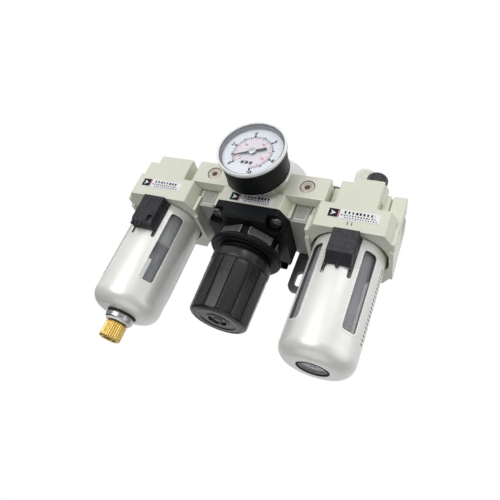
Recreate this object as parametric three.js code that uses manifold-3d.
// Air preparation unit: a filter, a regulator with its gauge and an oil-mist lubricator, clamped in a row.
// Millimetres. +X runs from inlet to outlet, -Y is the front, +Z is up and the bowls hang down.
// The origin lies on the port axis, in the middle of the regulator.
import * as THREE from "three";
import { mergeVertices } from "three/addons/utils/BufferGeometryUtils.js";
import Module from "manifold-3d";

const wasm = await Module();
wasm.setup();

// ---- driving dimensions ----
const PITCH = 64; // module to module along X
const HALF = 26.5; // half of a module's 53 mm width and depth
const FRONT_HALF = 20.6; // half width of the front face
const SIDE_HALF = 24.2; // half width of the skirt between its port flanges
const NECK_HALF = 12.5; // half width of the narrow upper block
const CORE_HALF = 17.7; // half depth of the core between the clamps
const SHELF_Z = -9; // top of the wide skirt, under the clamps
const NECK_TOP = 8; // top of the narrow upper block
const CORE_TOP = 8.6; // top of the core and of the port flanges
const SKIRT_BOTTOM = -26.3; // underside of the filter and lubricator bodies
const REGULATOR_BOTTOM = -20; // underside of the regulator body
const PORT_R = 7.6; // threaded port, 3/8 size
const PORT_DEPTH = 13;
const GAP = 0.3; // clearance between pieces that touch
const GUARD_R = 22.4; // bowl guard, outside
const GUARD_WALL = 1.2;
const GUARD_TOP = -17;
const GUARD_BOTTOM = -102;
const BOWL_R = 20.2; // clear bowl, outside
const BOWL_WALL = 2.2;
const BOWL_TOP = -13;
const SPACER_HALF = (PITCH - 2 * HALF) / 2 - GAP;
const CLAMP_HALF = 13.5; // half width of a clamp block
const CLAMP_DEPTH = 8.3;
const WALL_Y = 29.9; // back face of the wall bracket
const GAUGE_Z = 1.5; // height of the gauge over the port axis
const ROUND = 24; // sides of a large round piece
const SMALL_ROUND = 14;

// ---- materials ----
function paint(color, roughness, metalness) {
  return new THREE.MeshStandardMaterial({ color, roughness, metalness });
}

const MATERIAL = {
  castBody: paint(0xdcddc9, 0.5, 0.1),
  guard: paint(0xd2d1c8, 0.38, 0.55),
  clear: paint(0xd9dde0, 0.1, 0),
  black: paint(0x17171a, 0.45, 0),
  button: paint(0x232128, 0.55, 0),
  aluminium: paint(0xb5b6b8, 0.35, 0.9),
  steel: paint(0x9fa1a5, 0.3, 1),
  zinc: paint(0xcfcbb5, 0.35, 0.9),
  brass: paint(0xd9ae44, 0.3, 0.9),
  rubber: paint(0x1b1b1b, 0.85, 0),
  white: paint(0xf1f1ec, 0.5, 0),
  dial: paint(0xf4f5f8, 0.6, 0),
};

// ---- solids ----
function solid(geometry) {
  const bare = geometry.index ? geometry.toNonIndexed() : geometry.clone();
  const positions = new THREE.BufferGeometry().setAttribute("position", bare.getAttribute("position"));
  const merged = mergeVertices(positions, 1e-4);
  return new wasm.Manifold(
    new wasm.Mesh({
      numProp: 3,
      vertProperties: merged.attributes.position.array,
      triVerts: new Uint32Array(merged.index.array),
    }),
  );
}

function geometryOf(manifold) {
  const mesh = manifold.getMesh();
  const geometry = new THREE.BufferGeometry();
  geometry.setAttribute("position", new THREE.BufferAttribute(new Float32Array(mesh.vertProperties), 3));
  geometry.setIndex(new THREE.BufferAttribute(new Uint32Array(mesh.triVerts), 1));
  const faceted = geometry.toNonIndexed();
  faceted.computeVertexNormals();
  return faceted;
}

const join = (...solids) => solids.reduce((a, b) => a.add(b));
const cut = (base, ...tools) => tools.reduce((a, b) => a.subtract(b), base);

// A box from its lowest to its highest corner.
function box(x0, x1, y0, y1, z0, z1) {
  const geometry = new THREE.BoxGeometry(x1 - x0, y1 - y0, z1 - z0);
  geometry.translate((x0 + x1) / 2, (y0 + y1) / 2, (z0 + z1) / 2);
  return solid(geometry);
}

// A prism of a 2-D outline in X and Y between two heights.
function prism(points, z0, z1) {
  const shape = new THREE.Shape(points.map(([x, y]) => new THREE.Vector2(x, y)));
  const geometry = new THREE.ExtrudeGeometry(shape, { depth: z1 - z0, bevelEnabled: false });
  geometry.translate(0, 0, z0);
  return solid(geometry);
}

// A cylinder along Z, or along X or Y, from one end to the other.
function rod(radius, from, to, { axis = "z", at = [0, 0], sides = SMALL_ROUND } = {}) {
  const geometry = new THREE.CylinderGeometry(radius, radius, to - from, sides);
  geometry.translate(0, (from + to) / 2, 0);
  if (axis === "z") geometry.rotateX(Math.PI / 2).translate(at[0], at[1], 0);
  if (axis === "x") geometry.rotateZ(-Math.PI / 2).translate(0, at[0], at[1]);
  if (axis === "y") geometry.translate(at[0], 0, at[1]);
  return solid(geometry);
}

// A turned piece about Z from a closed list of [radius, height] points.
function turned(points, sides = ROUND) {
  const closed = [...points, points[0]].map(([r, z]) => new THREE.Vector2(r, z));
  const geometry = new THREE.LatheGeometry(closed, sides);
  geometry.rotateX(Math.PI / 2);
  const made = solid(geometry);
  return made.volume() > 0 ? made : solid(flipped(geometry));
}

// The same geometry with each triangle turned round.
function flipped(geometry) {
  const index = Array.from(geometry.index.array);
  for (let i = 0; i < index.length; i += 3) [index[i + 1], index[i + 2]] = [index[i + 2], index[i + 1]];
  return geometry.clone().setIndex(index);
}

// A ring of round section about Z.
function ring(radius, section, z, sides = 28, sectionSides = 8) {
  const geometry = new THREE.TorusGeometry(radius, section, sectionSides, sides);
  geometry.translate(0, 0, z);
  return solid(geometry);
}

// A coil spring about Z with flat-cut ends.
function coil(radius, wire, z0, z1, turns, stepsPerTurn = 14, wireSides = 6) {
  class Helix extends THREE.Curve {
    getPoint(t, target = new THREE.Vector3()) {
      const a = t * turns * 2 * Math.PI;
      return target.set(radius * Math.cos(a), radius * Math.sin(a), z0 + wire + t * (z1 - z0 - 2 * wire));
    }
  }
  const section = new THREE.Shape(
    Array.from({ length: wireSides }, (_, i) => {
      const a = (i / wireSides) * 2 * Math.PI;
      return new THREE.Vector2(wire * Math.cos(a), wire * Math.sin(a));
    }),
  );
  const steps = Math.round(turns * stepsPerTurn);
  return solid(new THREE.ExtrudeGeometry(section, { steps, extrudePath: new Helix(), bevelEnabled: false }));
}

// Eight-sided outline of a module, with its corners cut back from the front and rear faces.
const moduleOutline = (side, cornerY) => [
  [-FRONT_HALF, -HALF],
  [FRONT_HALF, -HALF],
  [side, -cornerY],
  [side, cornerY],
  [FRONT_HALF, HALF],
  [-FRONT_HALF, HALF],
  [-side, cornerY],
  [-side, -cornerY],
];

const polygon = (r, sides, start = 0) =>
  Array.from({ length: sides }, (_, i) => {
    const a = start + (i * 2 * Math.PI) / sides;
    return [r * Math.cos(a), r * Math.sin(a)];
  });

// Points of an arc, for rounded outlines and profiles.
const arc = (cx, cy, r, a0, a1, steps) =>
  Array.from({ length: steps + 1 }, (_, i) => {
    const a = ((a0 + ((a1 - a0) * i) / steps) * Math.PI) / 180;
    return [cx + r * Math.cos(a), cy + r * Math.sin(a)];
  });

// ---- placing ----
const unit = new THREE.Group();

function place(group, name, made, material) {
  const mesh = new THREE.Mesh(geometryOf(made), material);
  mesh.name = name;
  group.add(mesh);
  return mesh;
}

function groupAt(x, y = 0, z = 0) {
  const group = new THREE.Group();
  group.position.set(x, y, z);
  unit.add(group);
  return group;
}

// ---- module bodies ----
// The cast block that all three modules share: skirt, core, narrow neck and port flanges.
function moduleBlock(bottom) {
  const skirt = prism(moduleOutline(SIDE_HALF, 20), bottom, SHELF_Z);
  const core = box(-HALF, HALF, -CORE_HALF, CORE_HALF, bottom, CORE_TOP);
  const neck = box(-NECK_HALF, NECK_HALF, -HALF, HALF, SHELF_Z - 1, NECK_TOP);
  return join(skirt, core, neck);
}

// Flange lips that stand out at the foot of each port face.
function portLips(bottom, top, halfWidth = 19.2) {
  const lip = (side) => box(side > 0 ? 24 : -HALF, side > 0 ? HALF : -24, -halfWidth, halfWidth, bottom, top);
  return join(lip(-1), lip(1));
}

// Under a bowl module the lips reach a little below the skirt, clear of the lock button as the bowl turns.
function bowlPortLips() {
  return join(portLips(SKIRT_BOTTOM, -15), portLips(SKIRT_BOTTOM - 1.7, -15, 13));
}

const port = (side, depth) =>
  side < 0
    ? rod(PORT_R, -HALF - 1, -HALF + depth, { axis: "x", sides: 16 })
    : rod(PORT_R, HALF - depth, HALF + 1, { axis: "x", sides: 16 });

const LEDGE_SPREAD = 22; // degrees to each side of a bayonet ledge
const LUG_SPREAD = 14;
const BAYONET_ANGLES = [45, 135, 225, 315];

// A wedge of a ring between two radii, about Z.
function ringSector(r0, r1, z0, z1, middle, spread, steps = 3) {
  const outer = arc(0, 0, r1, middle - spread, middle + spread, steps);
  const inner = arc(0, 0, r0, middle + spread, middle - spread, steps);
  return prism([...outer, ...inner], z0, z1);
}

// The round socket under a bowl module: a bayonet chamber with ledges, then the seat of the bowl's rim.
function bowlSocket() {
  const chamber = rod(24.4, SKIRT_BOTTOM - 2, GUARD_TOP + GAP, { sides: 32 });
  const seat = rod(21.6, GUARD_TOP, -11, { sides: ROUND });
  const ledges = BAYONET_ANGLES.map((a) => ringSector(22.9, 25, -25.6, -21.2, a, LEDGE_SPREAD));
  return join(cut(chamber, ...ledges), seat);
}

function filterBody() {
  const block = join(moduleBlock(SKIRT_BOTTOM), bowlPortLips(), rod(12, 0, 12.5, { sides: ROUND }));
  const inletDrop = rod(3.5, -12, 0, { at: [-11.5, 0] });
  const outletRise = rod(5.5, -12, 0);
  const outletRun = rod(5.5, -2, HALF - 6, { axis: "x" });
  const ports = join(port(-1, PORT_DEPTH + 2), port(1, PORT_DEPTH));
  return cut(block, bowlSocket(), ports, inletDrop, outletRise, outletRun);
}

const PLUG_AT = [5.8, -16.4]; // filler plug axis, from the module's own centre
const DOME_AT = [-4.8, -1.5];
const TUBE_AT = [-6, -6];

function lubricatorBody() {
  const filler = rod(8.8, 0, 13, { at: PLUG_AT, sides: ROUND });
  const tower = rod(9, 0, 20, { at: DOME_AT, sides: ROUND });
  const crown = join(box(-2, NECK_HALF, -HALF, 16, 0, 11.5), box(-NECK_HALF, NECK_HALF, -6, 17, 0, 13));
  const block = join(moduleBlock(SKIRT_BOTTOM), bowlPortLips(), filler, tower, crown);
  const airRun = rod(5.5, -HALF + 6, HALF - 6, { axis: "x" });
  const fillHole = rod(5.3, -12, 17, { at: PLUG_AT });
  const domeSeat = rod(7.5, 16, 21, { at: DOME_AT, sides: ROUND });
  const dripHole = rod(2, -12, 17, { at: DOME_AT, sides: 12 });
  const ports = join(port(-1, PORT_DEPTH), port(1, PORT_DEPTH));
  return cut(block, bowlSocket(), ports, airRun, fillHole, domeSeat, dripHole);
}

function regulatorBody() {
  const cap = rod(14, 0, 13, { sides: ROUND });
  const block = join(moduleBlock(REGULATOR_BOTTOM), portLips(REGULATOR_BOTTOM, SHELF_Z), cap);
  const valveChamber = rod(9, -3, 14, { sides: 24 });
  const seatHole = rod(4.4, -14, 0);
  const diaphragmChamber = rod(18, REGULATOR_BOTTOM - 1, -13.5, { sides: ROUND });
  const outletFall = rod(3, -14, 0, { at: [15, 0], sides: 12 });
  const gaugePort = rod(4.9, -HALF - 1, -16, { axis: "y", at: [0, GAUGE_Z] });
  const gaugeFall = rod(1.5, -14, 0, { at: [0, -17.5], sides: 10 });
  const inletRun = rod(5, -HALF + 6, -6, { axis: "x" });
  return cut(
    block,
    port(-1, PORT_DEPTH),
    port(1, PORT_DEPTH),
    valveChamber,
    seatHole,
    diaphragmChamber,
    outletFall,
    gaugePort,
    gaugeFall,
    inletRun,
  );
}

// ---- bowls ----
const WINDOW_ANGLES = [-46, 43, 137, 226]; // degrees from the front, to the right
const WINDOW_TOP = -32;
const WINDOW_BOTTOM = -82;
const BOTTOM_HOLE_R = 9.7;

// The metal guard round a bowl: four windows, bayonet lugs, and slits and a spring stop for its lock button.
function bowlGuard() {
  const round = 9;
  const inner = GUARD_R - GUARD_WALL;
  const outside = arc(GUARD_R - round, GUARD_BOTTOM + round, round, 0, -90, 3);
  const inside = arc(GUARD_R - round, GUARD_BOTTOM + round, round - GUARD_WALL, -90, 0, 3);
  const shell = turned(
    [
      [GUARD_R, GUARD_TOP],
      ...outside,
      [BOTTOM_HOLE_R, GUARD_BOTTOM],
      [BOTTOM_HOLE_R, GUARD_BOTTOM + GUARD_WALL],
      ...inside,
      [inner, GUARD_TOP],
    ],
    28,
  );
  const lugs = BAYONET_ANGLES.map((a) => ringSector(GUARD_R - 0.5, 24, -20.8, GUARD_TOP, a, LUG_SPREAD));
  const windows = WINDOW_ANGLES.map((a) => window(a));
  const slits = [-1, 1].map((s) => box(s * 7.6 - 1.2, s * 7.6 + 1.2, -24, -17, -53.4, -29));
  const stop = box(-2.2, 2.2, -24.4, -21.9, -44.8, -43.5);
  return join(cut(join(shell, ...lugs), ...windows, ...slits), stop);
}

// A radial cutter for one window, with cut corners.
function window(angle) {
  const w = 4.6;
  const bevel = 1.6;
  const outline = [
    [-w, WINDOW_BOTTOM + bevel],
    [-w + bevel, WINDOW_BOTTOM],
    [w - bevel, WINDOW_BOTTOM],
    [w, WINDOW_BOTTOM + bevel],
    [w, WINDOW_TOP - bevel],
    [w - bevel, WINDOW_TOP],
    [-w + bevel, WINDOW_TOP],
    [-w, WINDOW_TOP - bevel],
  ];
  const shape = new THREE.Shape(outline.map(([x, z]) => new THREE.Vector2(x, z)));
  const geometry = new THREE.ExtrudeGeometry(shape, { depth: 9, bevelEnabled: false });
  geometry.rotateX(Math.PI / 2).translate(0, -16.5, 0);
  geometry.rotateZ((angle * Math.PI) / 180);
  return solid(geometry);
}

// The clear bowl: a rim, straight wall, round foot and a boss in the guard's bottom hole.
function clearBowl(bottomBore) {
  const round = 8;
  const inner = BOWL_R - BOWL_WALL;
  const foot = GUARD_BOTTOM + GUARD_WALL + 0.8;
  const bossR = BOTTOM_HOLE_R - GAP;
  const outside = arc(BOWL_R - round, foot + round, round, 0, -90, 3);
  const inside = arc(BOWL_R - round, foot + round, round - BOWL_WALL, -90, 0, 3);
  const bossFoot = GUARD_BOTTOM + (bottomBore ? 0.2 : 0.6);
  const bottom = [[bossR, foot], [bossR, bossFoot], [bottomBore, bossFoot], [bottomBore, foot + BOWL_WALL]];
  return turned([
    [20.9, BOWL_TOP],
    [20.9, GUARD_TOP + 0.6],
    [BOWL_R, GUARD_TOP - 0.4],
    ...outside,
    ...bottom,
    ...inside,
    [inner, BOWL_TOP - 1.8],
    [19.2, BOWL_TOP - 1.8],
    [19.2, BOWL_TOP],
  ]);
}

// The black lock button in front of a bowl: a cap with two legs in the guard's slits and a spring pocket.
function lockButton(chin) {
  const side = [[-29, -27], ...chin, [-22.8, -27]];
  const shape = new THREE.Shape(side.map(([y, z]) => new THREE.Vector2(y, z)));
  const geometry = new THREE.ExtrudeGeometry(shape, { depth: 15, bevelEnabled: false });
  geometry.rotateX(Math.PI / 2).rotateZ(Math.PI / 2).translate(-7.5, 0, 0);
  const cap = solid(geometry);
  const legs = [-1, 1].map((s) => box(s * 7.1 - 0.4, s * 7.1 + 0.4, -23.2, -20.4, -48.8, -29.4));
  const pocket = box(-2.6, 2.6, -25.2, -22, -45.5, -32);
  return cut(join(cap, ...legs), pocket);
}

// The lower ends of the two buttons' side outlines, as (y, z).
const FILTER_CHIN = [[-29, -46], [-27.2, -49.2], [-22.8, -49.8]];
const LUBRICATOR_CHIN = [[-29, -42.6], [-23.6, -47.6], [-22.8, -47.6]];

function bowlModuleTrim(group, prefix, chin) {
  place(group, prefix + "_bowl_guard", bowlGuard(), MATERIAL.guard);
  place(group, prefix + "_lock_button", lockButton(chin), MATERIAL.button);
  place(group, prefix + "_bowl_oring", ring(20.1, 0.7, -12.1, 20, 5), MATERIAL.rubber);
}

// ---- filter ----
function makeFilter() {
  const group = groupAt(-PITCH);
  place(group, "filter_body", filterBody(), MATERIAL.castBody);
  bowlModuleTrim(group, "filter", FILTER_CHIN);
  place(group, "filter_bowl", clearBowl(6.6), MATERIAL.clear);

  const hub = turned([[5.6, -22.5], [17.2, -22.5], [17.2, -21], [7.4, -15.4], [5.6, -15.4]]);
  const vanes = Array.from({ length: 8 }, (_, i) =>
    box(8, 16.8, -0.6, 0.6, -25, -21.5).rotate([0, 0, i * 45 + 12]),
  );
  place(group, "swirl_deflector", join(hub, ...vanes), MATERIAL.white);

  const elementProfile = [[7.5, -50.3], [11.5, -50.3], [11.5, -25.5], [7.5, -25.5]];
  place(group, "filter_element", turned(elementProfile), MATERIAL.white);
  const baffleProfile = [[3.4, -54.6], [5.5, -54.6], [15.6, -53.2], [15.6, -51.8], [10, -50.7], [3.4, -50.7]];
  place(group, "baffle", turned(baffleProfile), MATERIAL.black);
  const studHex = rod(5, -57.4, -55, { sides: 6 });
  place(group, "element_stud", join(rod(3, -56, -13, { sides: 12 }), studHex), MATERIAL.white);

  // Manual drain: a fixed guide with its ring nut, and the brass knob that turns.
  const guideProfile = [[3.2, -106.5], [6.2, -106.5], [6.2, -97.4], [8.4, -97.4], [8.4, -95], [3.2, -95]];
  place(group, "drain_guide", turned(guideProfile, 16), MATERIAL.white);
  const nutProfile = [[6.6, -107.2], [8.7, -107.2], [9.4, -106.4], [9.4, -102.3], [6.6, -102.3]];
  place(group, "drain_ring_nut", turned(nutProfile), MATERIAL.zinc);
  const cone = turned([[0, -96.8], [2.8, -96.8], [1.6, -93], [0, -93]], 12);
  const stem = join(rod(1.6, -109, -95, { sides: 12 }), cone);
  const grip = cut(rod(6.9, -119.8, -108.5, { sides: 20 }), rod(4.3, -120.5, -111, { sides: 16 }));
  place(group, "drain_knob", join(stem, grip), MATERIAL.brass);
}

// ---- regulator ----
const SCREW_X = 19.4;
const SCREW_Y = 20.6;
const KNOB_R = 19.6;
const KNOB_TOP = -46.5;
const KNOB_BOTTOM = -89.5;

function bonnet() {
  const flange = prism(moduleOutline(26, 16), -31.2, REGULATOR_BOTTOM - GAP);
  const corners = [-1, 1].flatMap((sx) =>
    [-1, 1].map((sy) => rod(4.6, -32, -25, { at: [sx * SCREW_X, sy * SCREW_Y], sides: 12 })),
  );
  const shanks = [-1, 1].flatMap((sx) =>
    [-1, 1].map((sy) => rod(2.3, -26, -19, { at: [sx * SCREW_X, sy * SCREW_Y], sides: 8 })),
  );
  const shell = turned([
    [4.6, -73],
    [16.2, -73],
    [16.2, -45],
    [17.4, -45],
    [17.4, -30],
    [14.6, -30],
    [14.6, -69.5],
    [4.6, -69.5],
  ]);
  const hollow = rod(14.6, -60, -19, { sides: ROUND });
  return cut(join(cut(flange, hollow), shell), ...corners, ...shanks);
}

function bonnetScrew(x, y) {
  const head = rod(4, -28.4, -25.3, { at: [x, y], sides: 12 });
  const shank = rod(2, -26, REGULATOR_BOTTOM - GAP - 0.2, { at: [x, y], sides: 8 });
  const cross = join(box(-2.4, 2.4, -0.5, 0.5, -29, -27.2), box(-0.5, 0.5, -2.4, 2.4, -29, -27.2));
  return cut(join(head, shank), cross.translate([x, y, 0]));
}

// Eight-sided panel nut with a corner to the front and a round flange under it.
function panelNut() {
  const flats = prism(polygon(21.7, 8, -Math.PI / 2), -38.2, -31.5);
  const flange = turned([[12, -43], [23, -43], [24, -42], [24, -39.4], [22.6, -38], [12, -38]]);
  return cut(join(flats, flange), rod(17.4 + GAP, -44, -31, { sides: ROUND }));
}

// Grip knob: a cup with ten flutes whose floor grips the adjusting screw.
function knob() {
  const cup = turned([
    [3.3, -86.4],
    [3.3, -82],
    [7, -82],
    [7, -85.8],
    [16.9, -85.8],
    [16.9, KNOB_TOP],
    [KNOB_R - 1.6, KNOB_TOP],
    [KNOB_R - 0.2, KNOB_TOP - 2],
    [KNOB_R, -53.5],
    [KNOB_R - 0.9, -88],
    [KNOB_R - 2.4, KNOB_BOTTOM],
    [12, KNOB_BOTTOM],
    [12, KNOB_BOTTOM + 0.8],
    [7.4, KNOB_BOTTOM + 0.8],
    [7.4, KNOB_BOTTOM + 2],
    [0, KNOB_BOTTOM + 2],
    [0, -86.4],
  ]);
  const flutes = polygon(20.1, 12, 0.13).map((at) => rod(1.2, -90, -55, { at, sides: 6 }));
  return cut(cup, ...flutes);
}

function adjustingScrew() {
  const thread = rod(4, -69, -57);
  const collar = rod(7, -69.2, -67.4);
  const tail = rod(4, -84, -69);
  const spline = rod(3, -86.1, -80, { sides: 6 });
  return join(cut(join(thread, collar, tail), rod(6, -90, -81.7)), spline);
}

function makeRegulator() {
  const group = groupAt(0);
  place(group, "regulator_body", regulatorBody(), MATERIAL.castBody);
  place(group, "bonnet", bonnet(), MATERIAL.black);
  let number = 1;
  for (const sx of [-1, 1])
    for (const sy of [-1, 1]) {
      place(group, "bonnet_screw_" + number, bonnetScrew(sx * SCREW_X, sy * SCREW_Y), MATERIAL.steel);
      number += 1;
    }
  place(group, "panel_nut", panelNut(), MATERIAL.black);
  place(group, "adjusting_knob", knob(), MATERIAL.black);
  place(group, "adjusting_screw", adjustingScrew(), MATERIAL.brass);

  const seat = cut(rod(13.4, -64.6, -59.8, { sides: 20 }), rod(4 + GAP, -65, -59));
  place(group, "spring_seat", seat, MATERIAL.zinc);
  place(group, "pressure_spring", coil(10.8, 1.3, -59.4, -24.4, 5, 10, 5), MATERIAL.steel);
  const piston = join(rod(12.6, -24, -22.4, { sides: 20 }), rod(8, -22.6, -18.6));
  place(group, "diaphragm_plate", piston, MATERIAL.zinc);
  const under = [[0, -18.2], [9, -18.2], [13, -19.4], [17.6, -19.4]];
  const above = [[17.6, -18], [9, -16.9], [0, -16.9]];
  place(group, "diaphragm", turned([...under, ...above], 20), MATERIAL.rubber);

  // The inlet valve: a poppet under a weak spring, closed by the round cap on top of the body.
  const poppet = join(rod(1.6, -16.4, 6, { sides: 8 }), rod(6.2, -2.6, 1.6, { sides: 16 }));
  place(group, "valve_poppet", poppet, MATERIAL.brass);
  place(group, "valve_spring", coil(4.2, 0.5, 1.9, 9.6, 3, 8, 4), MATERIAL.steel);
  const cap = turned([
    [0, 9.9],
    [8.5, 9.9],
    [8.5, 13.3],
    [14.6, 13.3],
    [14.6, CORE_TOP + GAP],
    [21, CORE_TOP + GAP],
    [21, 26.3],
    [19.8, 27.5],
    [9, 27.5],
    [9, 25.3],
    [0, 25.3],
  ]);
  place(group, "valve_cap", cap, MATERIAL.white);
}

// ---- pressure gauge, on the front of the regulator ----
const GAUGE_BACK = 30.2; // distances forward of the port axis
const GAUGE_FRONT = 52.8;
const DIAL_DEPTH = 4.8; // back of the dial, behind the front of the gauge
const NEEDLE_ANGLE = 22;

function makeGauge() {
  const group = groupAt(0);
  // +Z of the turned piece comes to face the front
  const about = (made) => made.rotate([90, 0, 0]).translate([0, 0, GAUGE_Z]);
  const back = GAUGE_BACK;
  const front = GAUGE_FRONT;
  const caseProfile = [
    [4.6, back],
    [14, back],
    [18.8, back + 1.4],
    [19.8, back + 4],
    [20.4, front - 2.4],
    [19.1, front - 2.4],
    [19.1, back + 5.2],
    [4.6, back + 5.2],
  ];
  place(group, "gauge_case", about(turned(caseProfile)), MATERIAL.black);
  const lensProfile = [
    [0, front - 1.5],
    [18.8, front - 1.5],
    [18.8, front - 4],
    [19, front - 4],
    [19, front - 2.1],
    [21.3, front - 2.1],
    [21.3, front - 0.6],
    [20.7, front],
    [18.4, front],
    [17.8, front - 0.4],
    [0, front - 0.4],
  ];
  place(group, "gauge_lens", about(turned(lensProfile)), MATERIAL.clear);
  const dialZ = front - DIAL_DEPTH;
  const dial = turned([[1.6, dialZ], [18.6, dialZ], [18.6, dialZ + 0.8], [1.6, dialZ + 0.8]], ROUND);
  place(group, "gauge_dial", about(dial), MATERIAL.dial);
  const needleOutline = [[-13, -0.35], [0, -0.9], [9, -0.8], [9, 0.8], [0, 0.9], [-13, 0.35]];
  const needle = prism(needleOutline, dialZ + 1.6, dialZ + 2.1);
  const hub = join(rod(2.2, dialZ + 1.5, dialZ + 2.6), rod(1, back + 7, dialZ + 1.6, { sides: 8 }));
  const pointer = join(needle, hub).rotate([0, 0, NEEDLE_ANGLE]);
  place(group, "gauge_pointer", about(pointer), MATERIAL.black);
  const tube = ringSector(12.2, 15, back + 6.4, back + 9.4, 50, 145, 12);
  const root = box(-2, 2, -14.4, 0, back + 5.6, back + 9.4);
  const bush = rod(4.2, back + 5.6, back + 9.4, { sides: 16 });
  const movement = cut(join(tube, root, bush), rod(1.3, back + 5, back + 12));
  place(group, "bourdon_tube", about(movement), MATERIAL.brass);
  const stem = cut(rod(4.3, 17, back + 5.4), rod(1.2, 16, back + 6, { sides: 8 }));
  place(group, "gauge_stem", about(stem), MATERIAL.brass);
}

// ---- lubricator ----
function makeLubricator() {
  const group = groupAt(PITCH);
  place(group, "lubricator_body", lubricatorBody(), MATERIAL.castBody);
  bowlModuleTrim(group, "lubricator", LUBRICATOR_CHIN);
  place(group, "lubricator_bowl", clearBowl(0), MATERIAL.clear);

  const [px, py] = PLUG_AT;
  const cap = join(rod(6.6, 13.4, 22, { sides: 20 }), rod(4.4, 4, 14, { sides: 14 }));
  place(group, "filler_plug", cap.translate([px, py, 0]), MATERIAL.black);

  const [dx, dy] = DOME_AT;
  const dome = turned([
    [5.7, 16.4],
    [7, 16.4],
    [7, 20.4],
    [7.4, 20.6],
    [7.4, 33.4],
    ...arc(4.4, 33.4, 3, 0, 90, 3),
    [3.2, 36.4],
    [3.2, 34.8],
    [5.7, 34.8],
  ]);
  place(group, "sight_dome", dome.translate([dx, dy, 0]), MATERIAL.clear);
  const stepped = join(rod(2.8, 31, 38, { sides: 16 }), rod(1, 26, 32, { sides: 10 }));
  const adjuster = cut(stepped, box(-3, 3, -0.4, 0.4, 36.8, 39));
  place(group, "drip_adjuster", adjuster.translate([dx, dy, 0]), MATERIAL.white);

  const atTube = (radius, from, to, sides) => rod(radius, from, to, { at: TUBE_AT, sides });
  place(group, "oil_tube", cut(atTube(2.2, -93, -15.3, 12), atTube(1.2, -94, -15, 8)), MATERIAL.clear);
  const strainer = cut(atTube(4, -97, -88, 16), atTube(2.5, -93.3, -87, 12));
  place(group, "oil_strainer", strainer, MATERIAL.zinc);
  const core = cut(rod(17, -15, -11.3), rod(4, -16, -10, { at: PLUG_AT, sides: 12 }));
  place(group, "oil_manifold", core, MATERIAL.white);
  place(group, "flow_damper", box(-0.5, 0.5, -3.6, 3.6, -3.6, 3.6), MATERIAL.rubber);
}

// ---- clamps between the modules ----
function clampBlock(side) {
  const near = 18 + GAP;
  const far = near + CLAMP_DEPTH;
  const block = box(-CLAMP_HALF, CLAMP_HALF, ...(side < 0 ? [-far, -near] : [near, far]), -8.7, 8.3);
  return cut(block, rod(2.8, ...(side < 0 ? [-28, -17] : [17, 28]), { axis: "y" }), screwRecess(side, 4.8));
}

const HEAD_DEPTH = 5;
function screwRecess(side, radius, backY = 27) {
  const span = side < 0 ? [-27.5, -26.6 + HEAD_DEPTH] : [26.6 - HEAD_DEPTH, backY];
  return rod(radius, ...span, { axis: "y", sides: 16 });
}

function clampScrew(side) {
  const headFrom = 26.6 - HEAD_DEPTH + GAP;
  const head = rod(4.4, headFrom, 26.2, { sides: 16 });
  const shank = rod(2.3, 9, headFrom + 0.2, { sides: 10 });
  const socket = prism(polygon(2.1, 6), 23.6, 27);
  return cut(join(head, shank), socket).rotate([side < 0 ? 90 : -90, 0, 0]);
}

function spacerBlock() {
  const block = box(-SPACER_HALF, SPACER_HALF, -18, 18, -21, CORE_TOP);
  const across = { axis: "x", sides: 18 };
  const rims = [
    rod(11.2, -SPACER_HALF - 1, -SPACER_HALF + 1.2, across),
    rod(11.2, SPACER_HALF - 1.2, SPACER_HALF + 1, across),
  ];
  const grooves = rims.map((rim) => cut(rim, rod(8.4, -SPACER_HALF - 2, SPACER_HALF + 2, across)));
  const taps = [-1, 1].map((s) => rod(2.6, ...(s < 0 ? [-19, -8.6] : [8.6, 19]), { axis: "y", sides: 10 }));
  return cut(block, rod(7, -7, 7, { axis: "x", sides: 16 }), ...grooves, ...taps);
}

// The wall bracket: a rear clamp with a slotted upright plate on its back.
function wallBracket() {
  const plateHalf = 7;
  const reach = 46;
  const corner = 3.5;
  const outline = [
    ...arc(plateHalf - corner, reach - corner, corner, 0, 90, 3),
    ...arc(-plateHalf + corner, reach - corner, corner, 90, 180, 3),
    ...arc(-plateHalf + corner, -reach + corner, corner, 180, 270, 3),
    ...arc(plateHalf - corner, -reach + corner, corner, 270, 360, 3),
  ];
  const slot = (z) => [...arc(0, z + 2.5, 3.3, 0, 180, 8), ...arc(0, z - 2.5, 3.3, 180, 360, 8)];
  const upright = (points, y0, y1) =>
    prism(points, 0, y1 - y0).rotate([90, 0, 0]).translate([0, y1, 0]);
  const plate = cut(upright(outline, 26.6, WALL_Y), upright(slot(36), 20, 35), upright(slot(-36), 20, 35));
  const block = box(-CLAMP_HALF, CLAMP_HALF, 18 + GAP, 26.7, -8.7, 8.3);
  return cut(join(plate, block), rod(2.8, 17, 28, { axis: "y" }), screwRecess(1, 4.8, 31));
}

function makeJoint(x, name, withBracket) {
  const group = groupAt(x);
  place(group, "spacer_" + name, spacerBlock(), MATERIAL.aluminium);
  place(group, "front_clamp_" + name, clampBlock(-1), MATERIAL.castBody);
  place(group, "front_clamp_screw_" + name, clampScrew(-1), MATERIAL.zinc);
  if (withBracket) place(group, "wall_bracket", wallBracket(), MATERIAL.steel);
  else place(group, "rear_clamp_" + name, clampBlock(1), MATERIAL.castBody);
  place(group, "rear_clamp_screw_" + name, clampScrew(1), MATERIAL.zinc);
  for (const side of [-1, 1]) {
    const seal = ring(9.8, 0.6, 0, 16, 4).rotate([0, 90, 0]).translate([side * (SPACER_HALF - 0.5), 0, 0]);
    place(group, "port_seal_" + name + (side < 0 ? "_inlet" : "_outlet"), seal, MATERIAL.rubber);
  }
}

makeFilter();
makeRegulator();
makeGauge();
makeLubricator();
makeJoint(-PITCH / 2, "left", false);
makeJoint(PITCH / 2, "right", true);

export default unit;
